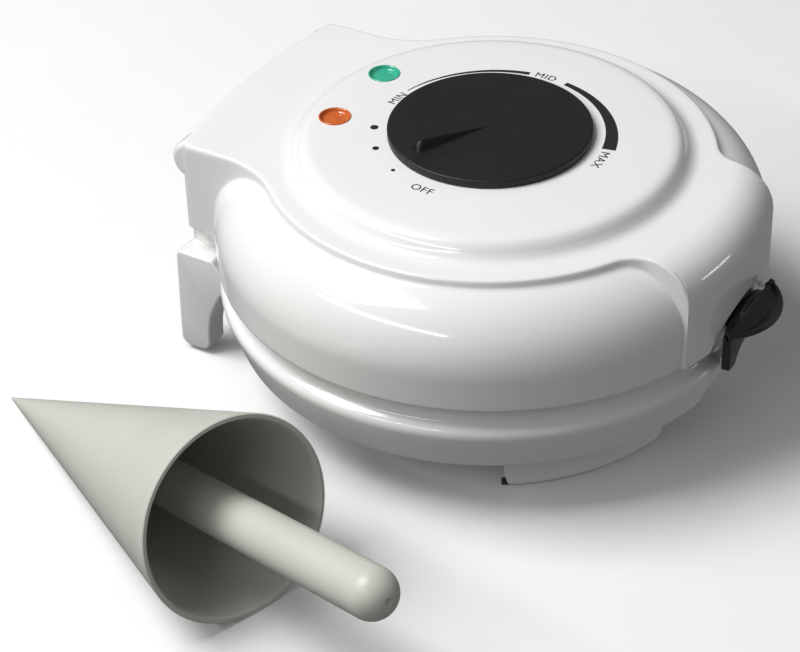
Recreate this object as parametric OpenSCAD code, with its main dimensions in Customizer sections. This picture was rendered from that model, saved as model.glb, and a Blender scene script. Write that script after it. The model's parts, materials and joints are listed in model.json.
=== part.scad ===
// Countertop krumkake iron with a hinged lid, and its loose cone roller.
// Frame: +Z up, floor at z = 0, the plates' round axis on Z, handle side at -Y, hinge side at +Y.

/* [Lid shell] */
// Radius of the lid at its lower rim
lid_r = 107; // [104:0.5:110]
// Height of the lid's lower rim
lid_rim_z = 52; // [50:0.5:54]
// Radius of the raised plateau round the dial panel
plateau_r = 87.4; // [84:0.2:90]
// Height of the plateau
plateau_z = 95.6; // [93:0.2:98]
// Radius of the raised round dial panel
panel_r = 72.2; // [70:0.2:74]
// Height of the dial panel
panel_z = 102.6; // [100:0.2:104]
// Wall of the moulded shells
wall = 2.6; // [2:0.1:3]

/* [Hinge side] */
// Half width of the hinge block
hinge_half_w = 54; // [50:1:58]
// Distance from the axis to the hinge block's corners
hinge_back_y = 106.5; // [104:0.5:108]
// Bulge of the block's rear wall
hinge_bulge = 5.5; // [3:0.5:8]
// Hinge pin's distance behind the axis
hinge_y = 102; // [100:0.5:104]
// Hinge pin's height
hinge_z = 64; // [62:0.5:66]
// Hinge pin's radius
hinge_pin_r = 3; // [2.5:0.1:3.5]

/* [Front] */
// Half width of the front block
front_half_w = 37; // [34:1:40]
// Radius of the front block's face
front_r = 108.6; // [107:0.2:110]
// Half width of the latch opening in the front block
arch_half_w = 24; // [22:0.5:26]
// Height of the latch opening above the lid's rim
arch_h = 13.5; // [12:0.5:14]
// How far the latch's tongue reaches from the axis
tongue_reach = 122; // [118:1:126]

/* [Base] */
// Radius of the base's lower edge
base_bottom_r = 101.2; // [99:0.2:102]
// Height of the base's lower edge
base_bottom_z = 22; // [20:0.5:24]
// Largest radius of the base
base_r = 106.8; // [104:0.2:108]
// Height of the base's upper rim
base_top_z = 42.5; // [41:0.5:44]
// Outer radius of the collar that rises from the rim to just below the lid
collar_r = 102.2; // [102:0.1:103.2]
// Outer radius of the two curved front feet
foot_r = 87; // [84:1:90]
// Angle between the front and the middle of each front foot
foot_turn = 34.5; // [30:0.5:40]
// Angle that each front foot spans
foot_span = 47; // [36:1:52]

/* [Plates] */
// Radius of the two baking plates
plate_r = 99; // [97:0.5:99]
// Height where the plates meet
meet_z = 47; // [46.5:0.1:47.5]
// Gap between the closed plates
plate_gap = 0.6; // [0.4:0.1:1]

/* [Knob] */
// Radius of the control knob
knob_r = 39.2; // [38:0.1:41]
// Height of the knob's top face
knob_top_z = 106.4; // [105.5:0.1:107.5]
// Angle of the pointer, from +X towards +Y
pointer_angle = 150.5; // [130:0.5:177]
// Radius of the two lamp lenses
lens_r = 6.1; // [5.5:0.1:6.5]
// Distance of the lamps from the axis
lamp_reach = 61; // [59:0.5:63]
// Half of the angle between the lamps, either side of the hinge
lamp_half_angle = 17.5; // [15:0.5:20]

/* [Cone roller] */
// Length of the hollow cone
cone_len = 160; // [150:1:170]
// Radius of the cone's mouth
cone_r = 38.7; // [36:0.1:41]
// Wall of the cone
cone_wall = 2.2; // [2:0.1:3]
// Radius of the round handle
grip_r = 9.4; // [8:0.1:10]
// How far the handle reaches past the mouth
grip_out = 88; // [80:1:95]
// Where the cone's tip touches the floor, along X
tip_x = -120.6; // [-130:0.2:-110]
// Where the cone's tip touches the floor, along Y
tip_y = 151.3; // [140:0.2:160]
// Direction in which the cone points from its tip
cone_yaw = -109.7; // [-115:0.1:-105]

/* [Hidden] */
$fn = 96;

WHITE = [0.93, 0.93, 0.92];
DARK = [0.16, 0.155, 0.155];
IRON = [0.2, 0.2, 0.21];
STEEL = [0.72, 0.73, 0.75];
CONE = [0.79, 0.79, 0.75];
RUBBER = [0.24, 0.24, 0.25];
CREAM = [0.85, 0.82, 0.72];

step_r = 5;                 // run of the step between plateau and panel
pillow_drop = 4.6;          // drop from the plateau to the side pillows
pillow_z = 66;              // height where the pillows are widest
pillow_r = 107.6;
pillow_in = 81;             // radius of the pillow arc's centre
rear_fillet = 40;           // plan radii of the S-curves into the two blocks
front_fillet = 14;
front_round = 16;           // rounding over the front block's upper edge
block_floor_z = 57;         // underside of the hinge block
ledge_r = 100.5;            // the plates' flange sits on ledges of this radius
lower_seat_z = 39.5;        // underside of the lower plate's flange
collar_top_z = lid_rim_z - 0.9;
upper_seat_z = 2 * meet_z - lower_seat_z;
heater_r = 62;
heater_tube = 3.3;
lug_in = 43;                // inner face of the base's hinge lugs
lug_t = 6.4;
boss_t = 6;                 // lid's hinge bosses inside the lugs
screw_reach = 78;           // plate screws' distance from the axis
screw_turn = 45;
arch_round = (arch_half_w * arch_half_w + arch_h * arch_h) / (2 * arch_h);
latch_y = -104.5;           // latch pin
latch_z = 57.4;
latch_pin_r = 1.5;
latch_half_w = 17.5;
barrel_half_w = 10.5;
ear_in = 11;                // ears that hold the latch pin
latch_low_z = 41;
latch_back_y = -107.6;      // latch plate, just clear of the base's rim
latch_front_y = -111;
tongue_z = 56.5;
tongue_r = 23.5;
recess_y = -98.4;          // flat recess in the base under the latch
shaft_r = 3;
shaft_low_z = 87;
shield_depth = 11;
sheet = 0.8;                // pressed steel sheet
pad_h = 0.8;
boss_low = shield_depth - sheet;
knob_gap = 0.5;             // under the knob
leg_in = 49.5;              // inner face of the rear legs
leg_t = 9.5;
leg_back_y = 111.2;
cone_half = atan2(cone_r, cone_len);
grip_start = 42;            // where the handle meets the cone inside

function arc_pts(cx, cy, r, a0, a1, n) =
    [for (i = [0:n]) [cx + r * cos(a0 + (a1 - a0) * i / n), cy + r * sin(a0 + (a1 - a0) * i / n)]];

// Plan outline of a block that leaves the plateau circle through S-curves, on the +Y side.
// h: half width, f: fillet radius, y1: far corner, b: bulge of the far wall, m: inward offset.
function block_pts(h, f, y1, b, m) =
    let (w = h - m, fr = f + m, R = plateau_r - m,
         cy = sqrt((R + fr) * (R + fr) - (w + fr) * (w + fr)),
         t = atan2(cy, w + fr), yb = y1 - m,
         Rb = (w * w + b * b) / (2 * b), ab = asin(w / Rb))
    concat([[0, 0]],
        arc_pts(w + fr, cy, fr, 180 + t, 180, 10),
        arc_pts(0, yb + b - Rb, Rb, 90 - ab, 90 + ab, 12),
        arc_pts(-w - fr, cy, fr, 0, -t, 10));

module rear_block(z0, z1, m) {
    translate([0, 0, z0]) linear_extrude(z1 - z0)
        polygon(block_pts(hinge_half_w, rear_fillet, hinge_back_y, hinge_bulge, m));
}

module ring(r1, r0, z0, z1) {
    translate([0, 0, z0]) difference() {
        cylinder(r = r1, h = z1 - z0);
        translate([0, 0, -1]) cylinder(r = r0, h = z1 - z0 + 2);
    }
}

module at_turns(count, reach, turn) {
    for (i = [0:count - 1]) rotate([0, 0, turn + i * 360 / count]) translate([reach, 0, 0]) children();
}

// Lid body of revolution, pulled in by m all over.
module lid_round(m) {
    a = pillow_r - pillow_in;
    b = plateau_z - pillow_drop - pillow_z + 2;
    rotate_extrude() polygon(concat(
        [[0, lid_rim_z], [lid_r - m, lid_rim_z], [pillow_r - m, pillow_z]],
        [for (t = [6:6:66]) [pillow_in + (a - m) * cos(t), pillow_z + (b - m) * sin(t)]],
        [[plateau_r - m, plateau_z - pillow_drop - m + 1], [plateau_r - m, plateau_z - m - 1],
         [plateau_r - m - 1, plateau_z - m], [panel_r + step_r - m, plateau_z - m],
         [panel_r + step_r - m - 1.6, plateau_z - m + 0.6], [panel_r - m + 0.8, panel_z - m - 0.9],
         [panel_r - m - 1, panel_z - m], [0, panel_z - m]]));
}

// Front block: a rounded sector of revolution kept between two side walls.
module front_block(m) {
    intersection() {
        rotate_extrude() polygon(concat(
            [[60, lid_rim_z], [front_r - m, lid_rim_z]],
            arc_pts(front_r - front_round, plateau_z - front_round, front_round - m, 0, 90, 9),
            [[60, plateau_z - m]]));
        mirror([0, 1, 0]) linear_extrude(120)
            polygon(block_pts(front_half_w, front_fillet, 124, 1, m));
    }
}

// Opening under the front block where the latch hangs, with a round top.
module latch_arch() {
    translate([0, -90, lid_rim_z - 1]) rotate([90, 0, 0]) linear_extrude(30)
        intersection() {
            translate([0, arch_h + 1 - arch_round]) circle(r = arch_round);
            translate([-arch_half_w, 0]) square([2 * arch_half_w, arch_h + 2]);
        }
}

module upper_housing() color(WHITE) difference() {
    union() {
        difference() {
            union() {
                lid_round(0);
                rear_block(block_floor_z, plateau_z, 0);
                front_block(0);
            }
            translate([0, 0, -0.01]) lid_round(wall);
            rear_block(block_floor_z - 1, plateau_z - wall, wall);
            front_block(wall);
            latch_arch();
            translate([0, 0, lid_rim_z - 1]) cylinder(r = ledge_r + 0.3, h = upper_seat_z - lid_rim_z + 1);
        }
        // ledge over the upper plate's flange
        difference() {
            ring(105.5, 96.5, upper_seat_z, upper_seat_z + 2.4);
            latch_arch();
            translate([-lug_in - lug_t - 1.6, 84, 50]) cube([2 * (lug_in + lug_t + 1.6), 30, 12]);
        }
        for (s = [-1, 1]) {
            // hinge bosses, hung from the block's roof
            translate([s > 0 ? lug_in - 0.5 - boss_t : 0.5 - lug_in, hinge_y - 6, hinge_z])
                cube([boss_t, 12, plateau_z - wall - hinge_z + 0.5]);
            translate([s * (lug_in - 0.5), hinge_y, hinge_z]) rotate([0, -s * 90, 0])
                cylinder(r = 6, h = boss_t);
            // ears that carry the latch pin, hung from the wall over the opening
            translate([s > 0 ? ear_in : -ear_in - 3, -front_r + wall - 0.2, latch_z - 2.8]) cube([3, 6, 15]);
        }
    }
    for (s = [-1, 1]) {
        translate([s * 60, hinge_y, hinge_z]) rotate([0, -s * 90, 0])
            translate([0, 0, 60 - lug_in]) cylinder(r = hinge_pin_r + 0.08, h = 10);
        rotate([0, 0, 90 + s * lamp_half_angle]) translate([lamp_reach, 0, 90]) cylinder(r = lens_r, h = 20);
        // slots in the rear wall, through which the base's lugs pass as the lid opens
        translate([s > 0 ? lug_in - 0.3 : -lug_in - lug_t - 1.6, hinge_y - 9, lid_rim_z - 1])
            cube([lug_t + 1.9, 22, hinge_z + 9.6 - lid_rim_z]);
    }
    translate([-ear_in - 3, latch_y, latch_z]) rotate([0, 90, 0])
        cylinder(r = latch_pin_r, h = 2 * ear_in + 6);
    cylinder(r = 5.2, h = 120);
}

module plate(seat_z, face_z, up) color(IRON) {
    // up = 1 for the lower plate, whose face looks up, -1 for the upper one
    h = abs(face_z - seat_z);
    translate([0, 0, seat_z]) mirror([0, 0, up > 0 ? 0 : 1])
        difference() {
            union() {
                cylinder(r = plate_r, h = h);
                ring(ledge_r - 0.2, plate_r - 1, 0, 2.4);
                at_turns(4, screw_reach, screw_turn) translate([0, 0, -boss_low]) cylinder(r = 5, h = boss_low + 1);
            }
            // baking disc, 1 mm deep, with the traditional ring and petal relief left standing
            difference() {
                translate([0, 0, h - 1]) cylinder(r = 91, h = 2);
                for (r = [14, 42, 66, 86]) ring(r + 0.8, r - 0.8, h - 2, h - 0.3);
                for (i = [0:15]) rotate([0, 0, i * 22.5]) translate([44, -0.7, h - 2])
                    cube([20, 1.4, 1.7]);
                for (i = [0:7]) rotate([0, 0, i * 45]) translate([28, 0, h - 2]) cylinder(r = 8, h = 1.7);
                for (i = [0:31]) rotate([0, 0, i * 11.25]) translate([76, 0, h - 2])
                    cylinder(r = 3.4, h = 1.7);
            }
            at_turns(4, screw_reach, screw_turn) translate([0, 0, -boss_low - 1]) cylinder(r = 1.5, h = 9);
        }
}
module lower_plate() plate(lower_seat_z, meet_z - plate_gap / 2, 1);
module upper_plate() plate(upper_seat_z, meet_z + plate_gap / 2, -1);

module heater(z, up) color(STEEL) {
    translate([0, 0, z]) {
        rotate([0, 0, -75]) rotate_extrude(angle = 330) translate([heater_r, 0]) circle(r = heater_tube, $fn = 32);
        for (a = [-75, 255]) rotate([0, 0, a]) translate([heater_r, 0, 0])
            mirror([0, 0, up]) translate([0, 0, 1]) cylinder(r = 2, h = 12);
    }
}
module lower_heater() heater(lower_seat_z - heater_tube, 1);
module upper_heater() heater(upper_seat_z + heater_tube, 0);

module heat_shield() color(STEEL) translate([0, 0, lower_seat_z]) difference() {
    rotate_extrude() polygon([[0, -shield_depth], [86, -shield_depth], [91, -sheet], [96, -sheet],
        [96, 0], [90.6, 0], [85.5, sheet - shield_depth], [0, sheet - shield_depth]]);
    at_turns(4, screw_reach, screw_turn) translate([0, 0, -shield_depth - 1]) cylinder(r = 1.7, h = 3);
    translate([0, 0, -shield_depth - 1]) cylinder(r = 8, h = 3);
    for (a = [-75, 255]) rotate([0, 0, a]) translate([heater_r, 0, -shield_depth - 1]) cylinder(r = 4, h = 3);
}
// The lid's inner parts mirror the base's about the plane where the plates meet.
module over() translate([0, 0, 2 * meet_z]) mirror([0, 0, 1]) children();
module lower_heat_shield() heat_shield();
module upper_heat_shield() over() heat_shield();

module screw(z, length) {
    translate([0, 0, z]) cylinder(r = 1.5, h = length);
    translate([0, 0, z - 2]) difference() {
        cylinder(r = 3.2, h = 2);
        translate([-2.4, -0.4, -1]) cube([4.8, 0.8, 1.7]);
        translate([-0.4, -2.4, -1]) cube([0.8, 4.8, 1.7]);
    }
}
module lower_plate_screws() color(STEEL)
    at_turns(4, screw_reach, screw_turn) screw(lower_seat_z - shield_depth, 7);
module upper_plate_screws() over() lower_plate_screws();
module bottom_cover_screws() color(STEEL) at_turns(4, 69, 0) screw(19.5, 6);

module pan() rotate_extrude() polygon([[0, base_bottom_z], [base_bottom_r - 1, base_bottom_z],
    [base_bottom_r, base_bottom_z + 1], [base_r - 1.2, base_top_z - 8], [base_r, base_top_z - 4],
    [base_r, base_top_z - 2.2], [base_r - 0.7, base_top_z - 0.7], [base_r - 1.8, base_top_z + 0.1],
    [collar_r + 1, base_top_z + 1.4], [collar_r, base_top_z + 3.7], [collar_r, collar_top_z],
    [0, collar_top_z]]);

module lower_housing() color(WHITE) difference() {
    union() {
        difference() {
            union() {
                pan();
                // rear deck between the legs
                translate([-leg_in, 60, base_bottom_z + 2])
                    cube([2 * leg_in, hinge_back_y + 2 - 60, base_top_z - base_bottom_z - 2.5]);
            }
            // the collar leaves the hinge side free, where the open lid swings down
            translate([-90, 80, base_top_z]) cube([180, 40, 20]);
            // hollow inside, with a ledge for the plate's flange
            translate([0, 0, lower_seat_z]) cylinder(r = ledge_r + 0.3, h = 20);
            rotate_extrude() polygon([[0, base_bottom_z + wall], [base_bottom_r - 6, base_bottom_z + wall],
                [97, base_bottom_z + 6], [97, lower_seat_z + 1], [0, lower_seat_z + 1]]);
            translate([0, 0, base_bottom_z - 1]) cylinder(r = 64, h = 10);
            translate([-leg_in + wall, 96, base_bottom_z])
                cube([2 * (leg_in - wall), hinge_back_y - 96 - wall + 2, base_top_z - base_bottom_z - 2.5 - wall]);
        }
        for (s = [-1, 1]) {
            // hinge lugs with a sloping gusset
            translate([s > 0 ? lug_in : -lug_in - lug_t, 0, 0]) rotate([90, 0, 90]) linear_extrude(lug_t)
                polygon([[93, base_top_z - 1], [hinge_back_y + 1.5, base_top_z - 1],
                    [hinge_y + 5, hinge_z - 3], [hinge_y + 3, hinge_z], [hinge_y - 4.5, hinge_z],
                    [hinge_y - 7, hinge_z - 7]]);
            translate([s > 0 ? lug_in : -lug_in - lug_t, hinge_y, hinge_z]) rotate([0, 90, 0])
                cylinder(r = 5.6, h = lug_t);
        }
        // posts for the plate's and the cover's screws
        at_turns(4, 69, 0) translate([0, 0, base_bottom_z]) cylinder(r = 4.5, h = 6);
        // catch rib that the latch closes over
        intersection() {
            ring(base_r + 0.3, base_r - 2, base_top_z - 6, base_top_z - 3.5);
            translate([-12, -120, 0]) cube([24, 40, 60]);
        }
    }
    for (s = [-1, 1]) translate([s * 60, hinge_y, hinge_z]) rotate([0, -s * 90, 0])
        cylinder(r = hinge_pin_r, h = 30);
    at_turns(4, 69, 0) translate([0, 0, base_bottom_z - 1]) cylinder(r = 1.5, h = 5.5);
    // hole for the cord's gland
    translate([-25, 120, 31]) rotate([90, 0, 0]) cylinder(r = 5, h = 30);
    translate([-17, -120, base_bottom_z - 1]) cube([34, 120 + recess_y, 14.6]);
}

module bottom_cover() color(STEEL) difference() {
    union() {
        translate([0, 0, base_bottom_z - 1.2]) cylinder(r = 76, h = 1.2);
        translate([0, 0, base_bottom_z - 2.2]) ring(74, 72.4, 0, 1.2);
    }
    at_turns(4, 69, 0) translate([0, 0, base_bottom_z - 3]) cylinder(r = 1.5, h = 5);
    for (i = [-2:2]) translate([i * 9 - 1.5, -15, base_bottom_z - 3]) cube([3, 30, 5]);
}

module foot_arc(s, points) rotate([0, 0, -90 + s * foot_turn - foot_span / 2])
    rotate_extrude(angle = foot_span) polygon(points);
module front_foot(s) color(WHITE) foot_arc(s, [[foot_r + 2.5, base_bottom_z], [foot_r, pad_h + 1.2],
    [foot_r - 1.2, pad_h], [foot_r - 5.4, pad_h], [foot_r - 6.4, pad_h + 1.2], [foot_r - 6.4, base_bottom_z]]);
module front_foot_left() front_foot(-1);
module front_foot_right() front_foot(1);

module rear_leg(s) color(WHITE) mirror([s < 0 ? 1 : 0, 0, 0]) difference() {
    translate([leg_in, 0, 0]) rotate([90, 0, 90]) linear_extrude(leg_t)
        polygon(concat([[86, 40.4], [86, 34], [90.2, 31], [93.2, 25], [95.4, 19.5], [96.6, 13]],
            arc_pts(101.3, 5 + pad_h, 4.4, 185, 270, 5), arc_pts(106.7, 5 + pad_h, 4.4, 270, 355, 5),
            [[leg_back_y - 0.6, 23], [leg_back_y - 1.2, 46.2], [leg_back_y - 2.6, 47.8], [92, 47.8]]));
    pan();
}
module rear_leg_left() rear_leg(-1);
module rear_leg_right() rear_leg(1);

module foot_pads() color(RUBBER) for (s = [-1, 1]) {
    foot_arc(s, [[foot_r - 5, 0], [foot_r - 1.6, 0], [foot_r - 1.6, pad_h], [foot_r - 5, pad_h]]);
    translate([s * (leg_in + leg_t / 2), 104, 0]) cylinder(r = 2.6, h = pad_h);
}

module hinge_pin(s) color(STEEL) translate([s * (lug_in + lug_t + 0.4), hinge_y, hinge_z])
    rotate([0, -s * 90, 0]) {
        translate([0, 0, 0.4]) cylinder(r = hinge_pin_r, h = lug_t + boss_t);
        translate([0, 0, -0.8]) cylinder(r = 4.6, h = 1.2);
    }
module hinge_pin_left() hinge_pin(-1);
module hinge_pin_right() hinge_pin(1);

module cord_gland() color(DARK) translate([-25, hinge_back_y + 1, 31]) rotate([-90, 0, 0]) difference() {
    union() {
        translate([0, 0, -6]) cylinder(r = 5, h = 7);
        translate([0, 0, 1]) cylinder(r = 7, h = 2.5);
    }
    translate([0, 0, -8]) cylinder(r = 3.4, h = 20);
}

module terminal_block() color(CREAM) difference() {
    translate([-18, -32, base_bottom_z]) cube([36, 14, 6]);
    for (i = [-1:1]) translate([i * 11, -25, base_bottom_z + 3]) cylinder(r = 2, h = 8);
}
module thermal_fuse() color(CREAM) translate([20, 30, lower_seat_z - shield_depth - 2.3])
    rotate([0, 90, 0]) cylinder(r = 2.3, h = 16);

module thermostat_body() color(CREAM) difference() {
    union() {
        translate([-16, -13, 80]) cube([32, 26, 12]);
        translate([0, 0, 91]) cylinder(r = 5, h = panel_z - 91 + 0.2);
    }
    translate([0, 0, shaft_low_z]) cylinder(r = shaft_r + 0.06, h = 20);
}
module thermostat_bracket() color(STEEL) difference() {
    union() {
        translate([-30, -9, 78.6]) cube([60, 18, 1.4]);
        for (s = [-1, 1]) translate([s > 0 ? 28.6 : -30, -9, 65.5]) cube([1.4, 18, 14]);
        for (s = [-1, 1]) translate([s > 0 ? 28.6 : -38, -9, 65.5]) cube([9.4, 18, 1.4]);
    }
    cylinder(r = 3, h = 100);
}
module thermostat_nut() color(STEEL) difference() {
    translate([0, 0, panel_z - wall - 3]) cylinder(r = 8, h = 2.9, $fn = 6);
    cylinder(r = 5, h = 120);
}
module thermostat_shaft() color(STEEL) translate([0, 0, shaft_low_z + 0.5])
    cylinder(r = shaft_r, h = knob_top_z - 0.7 - shaft_low_z - 0.5);

module lens(s, c) color(c) rotate([0, 0, 90 + s * lamp_half_angle]) translate([lamp_reach, 0, 0]) {
    translate([0, 0, panel_z - wall - 1.5]) cylinder(r = lens_r - 0.3, h = wall + 1.5);
    translate([0, 0, panel_z]) rotate_extrude() polygon([[0, 0], [lens_r + 0.9, 0], [lens_r + 0.9, 0.5],
        [lens_r - 0.2, 1.1], [lens_r - 2, 0.8], [0, 2]]);
}
module green_lens() lens(-1, [0.25, 0.7, 0.55]);
module orange_lens() lens(1, [0.75, 0.32, 0.12]);

module lamp(s, c) color(c) rotate([0, 0, 90 + s * lamp_half_angle]) translate([lamp_reach, 0, 0]) {
    translate([0, 0, 84.4]) cylinder(r = 2.6, h = 11.2);
    translate([0, 0, 95.6]) sphere(r = 2.6, $fn = 32);
}
module green_lamp() lamp(-1, [0.8, 0.95, 0.9]);
module orange_lamp() lamp(1, [0.98, 0.8, 0.6]);
module lamp_bracket() color(STEEL) {
    translate([-26, 53, 83]) cube([52, 12, 1.4]);
    translate([-16, 64.9, 83]) cube([32, 1.4, panel_z - wall - 83.05]);
}

// Studs on the lid's back, on which the opened lid leans.
module rest_bumper(s) color(WHITE) difference() {
    translate([s * 38 - 14, 105, 86.5]) rotate([0, 90, 0]) cylinder(r = 8.2, h = 28);
    rear_block(block_floor_z, plateau_z + 5, 0);
}
module rest_bumper_left() rest_bumper(-1);
module rest_bumper_right() rest_bumper(1);

module latch_pin() color(STEEL) translate([-ear_in - 2.6, latch_y, latch_z]) rotate([0, 90, 0])
    cylinder(r = latch_pin_r, h = 2 * ear_in + 5.2);

module control_knob() color(DARK) difference() {
    rotate_extrude() polygon([[0, panel_z + knob_gap], [knob_r, panel_z + knob_gap],
        [knob_r, knob_top_z - 1.6], [knob_r - 0.8, knob_top_z - 0.5], [knob_r - 2.4, knob_top_z], [0, knob_top_z]]);
    translate([0, 0, panel_z]) cylinder(r = shaft_r, h = knob_top_z - 0.7 - panel_z);
}
module knob_pointer() color(DARK) rotate([0, 0, pointer_angle]) translate([0, 0, knob_top_z])
    rotate([90, 0, 0]) linear_extrude(3, center = true) polygon([[0, 0], [32, 0], [33.5, 1], [30, 3.4], [2, 0.6]]);

module latch_clip() color(DARK) difference() {
    union() {
        // plate whose top follows the opening, with its hinge barrel behind
        translate([0, latch_back_y, lid_rim_z]) rotate([90, 0, 0]) linear_extrude(latch_back_y - latch_front_y)
            intersection() {
                translate([0, arch_h - arch_round]) circle(r = arch_round - 3);
                difference() {
                    translate([-latch_half_w, latch_low_z - lid_rim_z]) square([2 * latch_half_w, 30]);
                    translate([0, latch_low_z - lid_rim_z - 5]) circle(r = 12.5);
                }
            }
        translate([-barrel_half_w, latch_back_y - 0.5, latch_z - 2.6]) cube([2 * barrel_half_w, 3.4, 3.4]);
        translate([-barrel_half_w, latch_y, latch_z]) rotate([0, 90, 0]) cylinder(r = 2.6, h = 2 * barrel_half_w);
        // tongue that the fingers pull
        translate([0, 0, tongue_z]) linear_extrude(3.5) intersection() {
            translate([0, tongue_r - tongue_reach]) circle(r = tongue_r);
            translate([-25, -140]) square([50, 140 + latch_back_y - 1.9]);
        }
    }
    translate([-30, latch_y, latch_z]) rotate([0, 90, 0]) cylinder(r = latch_pin_r + 0.06, h = 60);
}

// The roller lies on the floor on its side: its axis climbs by its own half angle.
module roller_frame() {
    translate([tip_x, tip_y, 0]) rotate([0, 0, cone_yaw]) rotate([0, 90 - cone_half, 0]) children();
}
module roller_cone() color(CONE) roller_frame() rotate_extrude()
    polygon([[0, 0], [cone_r, cone_len], [cone_r - cone_wall, cone_len], [grip_r, grip_start], [0, grip_start]]);
module roller_handle() color(CONE) roller_frame() translate([0, 0, grip_start]) {
    cylinder(r = grip_r, h = cone_len + grip_out - grip_start - grip_r);
    translate([0, 0, cone_len + grip_out - grip_start - grip_r]) sphere(r = grip_r);
}

lower_housing();
bottom_cover();
front_foot_left();
front_foot_right();
rear_leg_left();
rear_leg_right();
foot_pads();
lower_plate();
lower_heater();
lower_heat_shield();
lower_plate_screws();
bottom_cover_screws();
hinge_pin_left();
hinge_pin_right();
cord_gland();
terminal_block();
thermal_fuse();
upper_housing();
upper_plate();
upper_heater();
upper_heat_shield();
upper_plate_screws();
thermostat_body();
thermostat_bracket();
thermostat_nut();
green_lens();
orange_lens();
green_lamp();
orange_lamp();
lamp_bracket();
rest_bumper_left();
rest_bumper_right();
latch_pin();
control_knob();
knob_pointer();
thermostat_shaft();
latch_clip();
roller_cone();
roller_handle();
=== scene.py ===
"""Looks for a countertop krumkake iron and its loose cone roller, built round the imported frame."""
import json
import math

import bmesh
import bpy
import numpy as np
from mathutils import Matrix, Vector


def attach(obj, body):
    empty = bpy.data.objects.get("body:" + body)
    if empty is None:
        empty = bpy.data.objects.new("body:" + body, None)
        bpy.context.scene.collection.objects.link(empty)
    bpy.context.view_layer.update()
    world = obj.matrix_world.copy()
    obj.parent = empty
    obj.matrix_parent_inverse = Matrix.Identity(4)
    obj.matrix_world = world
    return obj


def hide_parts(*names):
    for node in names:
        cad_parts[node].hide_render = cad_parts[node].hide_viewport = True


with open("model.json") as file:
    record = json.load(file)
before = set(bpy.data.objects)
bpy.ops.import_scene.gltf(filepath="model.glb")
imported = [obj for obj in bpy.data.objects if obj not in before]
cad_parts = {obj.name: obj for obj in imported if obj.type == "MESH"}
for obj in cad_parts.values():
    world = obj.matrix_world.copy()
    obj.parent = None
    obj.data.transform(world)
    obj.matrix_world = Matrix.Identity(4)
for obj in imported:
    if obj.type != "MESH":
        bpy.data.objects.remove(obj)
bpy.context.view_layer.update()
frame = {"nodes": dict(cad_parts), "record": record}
MM = 0.001

# Sizes in millimetres and angles in degrees, in the frame's own axes: latch at -Y, hinge at +Y

# Lid
LID_RIM_Z, LID_R = 52.0, 107.0
PLATEAU_R, PLATEAU_Z = 87.4, 95.6
PANEL_R, PANEL_Z, PANEL_STEP = 72.2, 102.6, 7.8
PILLOW_IN, PILLOW_R, PILLOW_Z, PILLOW_DROP = 81.0, 107.6, 66.0, 4.6
SHELL = 2.6
HINGE_HALF_W, HINGE_FILLET, HINGE_BACK, HINGE_BULGE = 54.0, 40.0, 106.5, 5.5
BLOCK_FLOOR, BLOCK_RISE = 57.0, 3.0
FRONT_HALF_W, FRONT_FILLET, FRONT_FAR, FRONT_BULGE = 37.0, 14.0, 124.0, 1.0
FRONT_R, FRONT_ROUND = 108.6, 16.0
ARCH_HALF_W, ARCH_H = 24.0, 13.5
ARCH_BOW = (ARCH_HALF_W ** 2 + ARCH_H ** 2) / (2 * ARCH_H)
LEDGE_IN, LEDGE_OUT, LEDGE_T = 96.5, 105.2, 2.4
BUMPER_X, BUMPER_Y, BUMPER_Z = 38.0, 105.0, 86.5

# Base
BASE_BOTTOM_R, BASE_BOTTOM_Z, BASE_R, BASE_TOP = 101.2, 22.0, 106.8, 42.5
BASE_HOLE_R, PAN_IN = 64.0, 97.0
COLLAR_R, COLLAR_IN, COLLAR_TOP, COLLAR_END_Y = 102.2, 100.8, LID_RIM_Z - 0.9, 80.0
RECESS_Y, RECESS_HALF_W, RECESS_TOP = -98.4, 17.0, 35.6
RIB_ANGLE, RIB_SPAN = -90.0, 12.8
DECK_BOTTOM, DECK_TOP, DECK_BACK = BASE_BOTTOM_Z + 2, BASE_TOP - 0.5, HINGE_BACK + 2
FOOT_R, FOOT_T, FOOT_TURN, FOOT_SPAN, PAD_H = 87.0, 6.4, 34.5, 47.0, 0.8
LEG_IN, LEG_T, LEG_BACK, LEG_TOP, TOE_R = 49.5, 9.5, 111.2, 47.7, 4.4

# Hinge
HINGE_Y, HINGE_Z = 102.0, 64.0
LUG_IN, LUG_T, LUG_R, BOSS_T, BOSS_R = 43.0, 6.4, 5.6, 6.0, 6.0

# Plates
MEET_Z, PLATE_GAP = 47.0, 0.3
SEAT_LOW, SEAT_UP = 39.5, 54.5
PLATE_R, FLANGE_R = 99.0, 100.2
POST_REACH, POST_H = 78.0, 10.2
RELIEF_H, RELIEF_SINK = 0.62, 1.0

# Knob, print and lamps
KNOB_R, KNOB_TOP = 39.2, 106.4
POINTER_ANGLE, POINTER_IN, POINTER_LEN, POINTER_HALF_W, POINTER_H = 150.5, 1.0, 32.4, 2.6, 3.35
PRINT_Z, PRINT_H, DOT_REACH = PANEL_Z + 0.28, 0.12, 44.4
LENS_R, LAMP_REACH, LAMP_ANGLE = 6.1, 61.0, 17.5

# Latch
LATCH_HALF_W, LATCH_BACK, LATCH_FRONT, LATCH_LOW = 17.5, -107.6, -111.0, 41.0
NOTCH_R, NOTCH_Z = 12.5, LATCH_LOW - 5
TONGUE_Z, TONGUE_T, TONGUE_R, TONGUE_REACH, TONGUE_HALF_W = 56.5, 3.5, 23.5, 122.0, 20.4
LATCH_PIN_Y, LATCH_PIN_Z, BARREL_HALF = -104.5, 57.4, 10.5

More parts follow.
